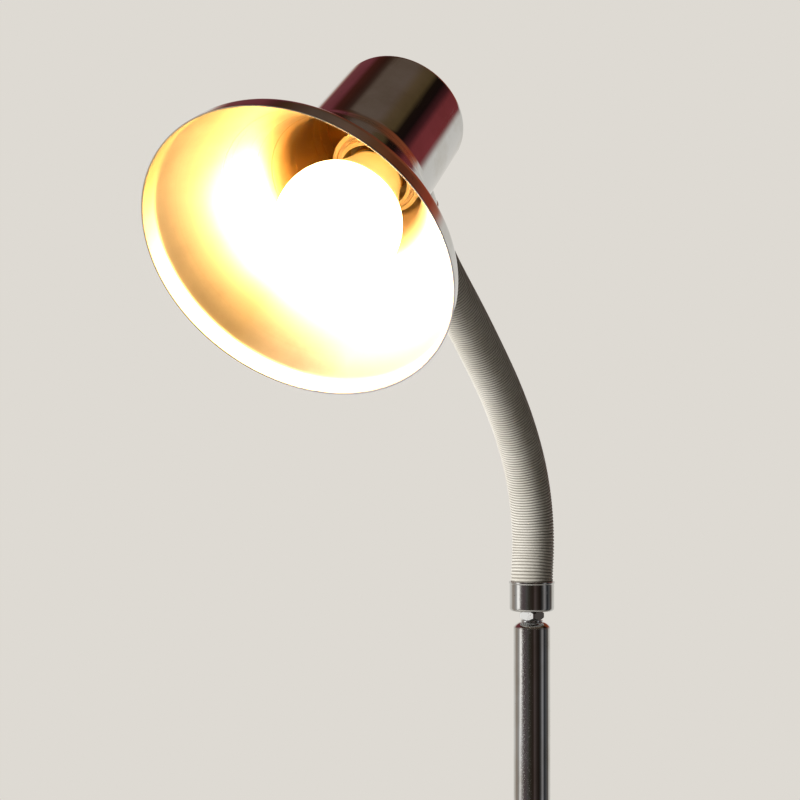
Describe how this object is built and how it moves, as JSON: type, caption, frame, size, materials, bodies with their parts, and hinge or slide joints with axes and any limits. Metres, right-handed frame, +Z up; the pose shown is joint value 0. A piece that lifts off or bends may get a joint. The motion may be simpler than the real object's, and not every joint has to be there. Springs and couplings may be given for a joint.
{
  "type": "floor lamp",
  "caption": "Reading floor lamp: spun chrome bell shade on a bendable ribbed gooseneck, straight chrome pole and round weighted base with a foot switch.",
  "frame": {"origin": "centre of the felt's underside, which stands on the floor", "axes": "+Z up along the pole; the shade faces -Y and down; +X to the lamp's left as it faces you, to the right seen from the front"},
  "size_m": [0.26, 0.4307, 1.3457],
  "materials": {
    "felt": "matte",
    "zinc_plate": "satin",
    "zinc_screw": "satin",
    "iron_weight": "matte",
    "chrome_base": "polished",
    "bushing_rubber": "matte",
    "terminal_plastic": "satin",
    "brass_screw": "satin",
    "switch_plastic": "matte",
    "chrome_button": "polished",
    "spring_steel": "satin",
    "zinc_rod": "satin",
    "chrome_collar": "polished",
    "chrome_pole": "polished",
    "steel_plug": "satin",
    "chrome_fitting": "polished",
    "neck_sleeve": "satin",
    "chrome_shade": "polished",
    "steel_bracket": "satin",
    "cream_plastic": "satin",
    "porcelain": "gloss",
    "brass_shell": "satin",
    "opal_glass": "matte",
    "bulb_cap_metal": "satin",
    "bulb_black_glass": "gloss",
    "solder": "satin"
  },
  "bodies": {
    "stand": {"base_felt": "felt", "bottom_plate": "zinc_plate", "plate_screws": "zinc_screw", "base_weight": "iron_weight", "base_cover": "chrome_base", "inlet_bushing": "bushing_rubber", "terminal_block": "terminal_plastic", "terminal_screws": "brass_screw", "switch_body": "switch_plastic", "switch_bezel": "chrome_collar", "switch_spring": "spring_steel", "tie_rod": "zinc_rod", "tie_nut": "zinc_rod", "tie_washer": "zinc_plate", "pole_collar": "chrome_collar", "pole_tube": "chrome_pole", "pole_foot_plug": "steel_plug", "pole_top_plug": "chrome_fitting", "lock_ring": "chrome_fitting", "lock_nut": "chrome_fitting", "lower_nipple": "zinc_rod", "lower_ferrule": "chrome_fitting", "gooseneck_link_01": "neck_sleeve"},
    "foot_button": {"switch_button": "chrome_button"},
    "neck_02": {"gooseneck_link_02": "neck_sleeve"},
    "neck_03": {"gooseneck_link_03": "neck_sleeve"},
    "neck_04": {"gooseneck_link_04": "neck_sleeve"},
    "neck_05": {"gooseneck_link_05": "neck_sleeve"},
    "neck_06": {"gooseneck_link_06": "neck_sleeve"},
    "neck_07": {"gooseneck_link_07": "neck_sleeve"},
    "neck_08": {"gooseneck_link_08": "neck_sleeve"},
    "neck_09": {"gooseneck_link_09": "neck_sleeve"},
    "neck_10": {"gooseneck_link_10": "neck_sleeve"},
    "neck_11": {"gooseneck_link_11": "neck_sleeve"},
    "neck_12": {"gooseneck_link_12": "neck_sleeve"},
    "neck_13": {"gooseneck_link_13": "neck_sleeve"},
    "neck_14": {"gooseneck_link_14": "neck_sleeve"},
    "neck_15": {"gooseneck_link_15": "neck_sleeve"},
    "neck_16": {"gooseneck_link_16": "neck_sleeve"},
    "neck_17": {"gooseneck_link_17": "neck_sleeve"},
    "head": {"gooseneck_link_18": "neck_sleeve", "upper_ferrule": "chrome_fitting", "upper_nipple": "zinc_rod", "shade": "chrome_shade", "holder_bracket": "steel_bracket", "holder_nipple": "zinc_rod", "holder_nut": "zinc_plate", "holder_dome": "cream_plastic", "holder_barrel": "cream_plastic", "holder_ring": "cream_plastic", "contact_block": "porcelain", "screw_shell": "brass_shell", "centre_contact": "brass_shell", "bulb_glass": "opal_glass", "bulb_screw_cap": "bulb_cap_metal", "bulb_insulator": "bulb_black_glass", "bulb_tip": "solder"}
  },
  "joints": [
    {"name": "foot_button_press", "type": "slide", "parent": "stand", "child": "foot_button", "axis": [0, 0, -1], "range_m": [0, 0.004], "stiffness_N_per_m": 900, "springref_m": -0.002, "deforming": ["switch_spring"]},
    {"name": "neck_bend_01", "type": "hinge", "parent": "stand", "child": "neck_02", "pos_m": [0, 0, 1.0872], "axis": [1, 0, 0], "range_deg": [-8, 8]},
    {"name": "neck_sway_02", "type": "hinge", "parent": "neck_02", "child": "neck_03", "pos_m": [0, 0.00185, 1.10184], "axis": [0, 0.9996, -0.0276], "range_deg": [-8, 8]},
    {"name": "neck_bend_03", "type": "hinge", "parent": "neck_03", "child": "neck_04", "pos_m": [0, 0.00081, 1.11657], "axis": [1, 0, 0], "range_deg": [-8, 8]},
    {"name": "neck_sway_04", "type": "hinge", "parent": "neck_04", "child": "neck_05", "pos_m": [0, -0.0026, 1.13093], "axis": [0, 0.9527, 0.3041], "range_deg": [-8, 8]},
    {"name": "neck_bend_05", "type": "hinge", "parent": "neck_05", "child": "neck_06", "pos_m": [0, -0.00814, 1.14461], "axis": [1, 0, 0], "range_deg": [-8, 8]},
    {"name": "neck_sway_06", "type": "hinge", "parent": "neck_06", "child": "neck_07", "pos_m": [0, -0.01565, 1.15732], "axis": [0, 0.8362, 0.5485], "range_deg": [-8, 8]},
    {"name": "neck_bend_07", "type": "hinge", "parent": "neck_07", "child": "neck_08", "pos_m": [0, -0.02431, 1.16927], "axis": [1, 0, 0], "range_deg": [-8, 8]},
    {"name": "neck_sway_08", "type": "hinge", "parent": "neck_08", "child": "neck_09", "pos_m": [0, -0.03401, 1.18039], "axis": [0, 0.7335, 0.6797], "range_deg": [-8, 8]},
    {"name": "neck_bend_09", "type": "hinge", "parent": "neck_09", "child": "neck_10", "pos_m": [0, -0.04437, 1.19091], "axis": [1, 0, 0], "range_deg": [-8, 8]},
    {"name": "neck_sway_10", "type": "hinge", "parent": "neck_10", "child": "neck_11", "pos_m": [0, -0.05534, 1.20078], "axis": [0, 0.6628, 0.7488], "range_deg": [-8, 8]},
    {"name": "neck_bend_11", "type": "hinge", "parent": "neck_11", "child": "neck_12", "pos_m": [0, -0.06647, 1.21047], "axis": [1, 0, 0], "range_deg": [-8, 8]},
    {"name": "neck_sway_12", "type": "hinge", "parent": "neck_12", "child": "neck_13", "pos_m": [0, -0.07776, 1.21998], "axis": [0, 0.636, 0.7717], "range_deg": [-8, 8]},
    {"name": "neck_bend_13", "type": "hinge", "parent": "neck_13", "child": "neck_14", "pos_m": [0, -0.08925, 1.22925], "axis": [1, 0, 0], "range_deg": [-8, 8]},
    {"name": "neck_sway_14", "type": "hinge", "parent": "neck_14", "child": "neck_15", "pos_m": [0, -0.10093, 1.23827], "axis": [0, 0.6186, 0.7857], "range_deg": [-8, 8]},
    {"name": "neck_bend_15", "type": "hinge", "parent": "neck_15", "child": "neck_16", "pos_m": [0, -0.11244, 1.24751], "axis": [1, 0, 0], "range_deg": [-8, 8]},
    {"name": "neck_sway_16", "type": "hinge", "parent": "neck_16", "child": "neck_17", "pos_m": [0, -0.1233, 1.25751], "axis": [0, 0.7023, 0.7119], "range_deg": [-8, 8]},
    {"name": "neck_bend_17", "type": "hinge", "parent": "neck_17", "child": "head", "pos_m": [0, -0.13345, 1.26823], "axis": [1, 0, 0], "range_deg": [-8, 8]}
  ],
  "couplings": [
    {"joint": "neck_bend_03", "follows": "neck_bend_01", "ratio": 1},
    {"joint": "neck_bend_05", "follows": "neck_bend_01", "ratio": 1},
    {"joint": "neck_bend_07", "follows": "neck_bend_01", "ratio": 1},
    {"joint": "neck_bend_09", "follows": "neck_bend_01", "ratio": 1},
    {"joint": "neck_bend_13", "follows": "neck_bend_11", "ratio": 1},
    {"joint": "neck_bend_15", "follows": "neck_bend_11", "ratio": 1},
    {"joint": "neck_bend_17", "follows": "neck_bend_11", "ratio": 1},
    {"joint": "neck_sway_04", "follows": "neck_sway_02", "ratio": 1},
    {"joint": "neck_sway_06", "follows": "neck_sway_02", "ratio": 1},
    {"joint": "neck_sway_08", "follows": "neck_sway_02", "ratio": 1},
    {"joint": "neck_sway_12", "follows": "neck_sway_10", "ratio": 1},
    {"joint": "neck_sway_14", "follows": "neck_sway_10", "ratio": 1},
    {"joint": "neck_sway_16", "follows": "neck_sway_10", "ratio": 1}
  ]
}
